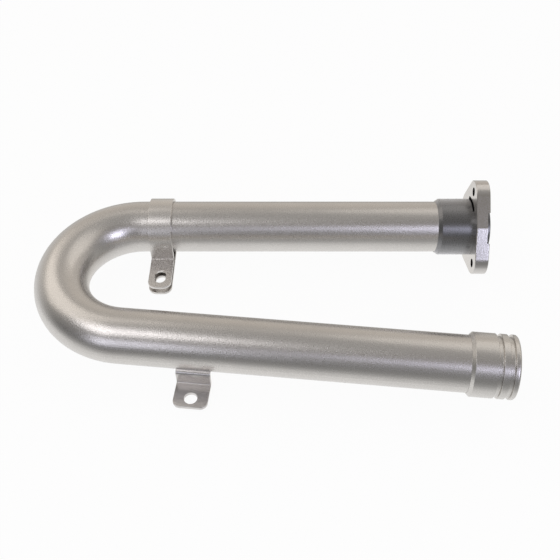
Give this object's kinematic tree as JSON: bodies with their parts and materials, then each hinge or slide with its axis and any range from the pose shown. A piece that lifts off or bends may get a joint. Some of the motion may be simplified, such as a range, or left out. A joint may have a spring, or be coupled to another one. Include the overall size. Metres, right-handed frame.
{
  "type": "exhaust gas recirculation pipe",
  "caption": "U-bent steel tube for recirculated exhaust gas, with a bolted flange on a turned collar, a grooved slip sleeve, a clamp and a welded bracket.",
  "frame": {"origin": "centre of the flange's mating face, on the upper leg's axis", "axes": "+X out of the flange along the upper leg's axis, -Y towards the lower leg, +Z square to the plane of the U"},
  "size_m": [0.3298, 0.1844, 0.0674],
  "materials": {
    "tube_steel": "satin",
    "flange_steel": "satin",
    "collar_steel": "satin",
    "sleeve_steel": "satin",
    "strip_steel": "satin"
  },
  "bodies": {
    "root": {"bent_tube": "tube_steel", "flange_plate": "flange_steel", "flange_collar": "collar_steel", "slip_sleeve": "sleeve_steel", "pipe_clamp": "strip_steel", "support_bracket": "strip_steel"}
  },
  "joints": []
}
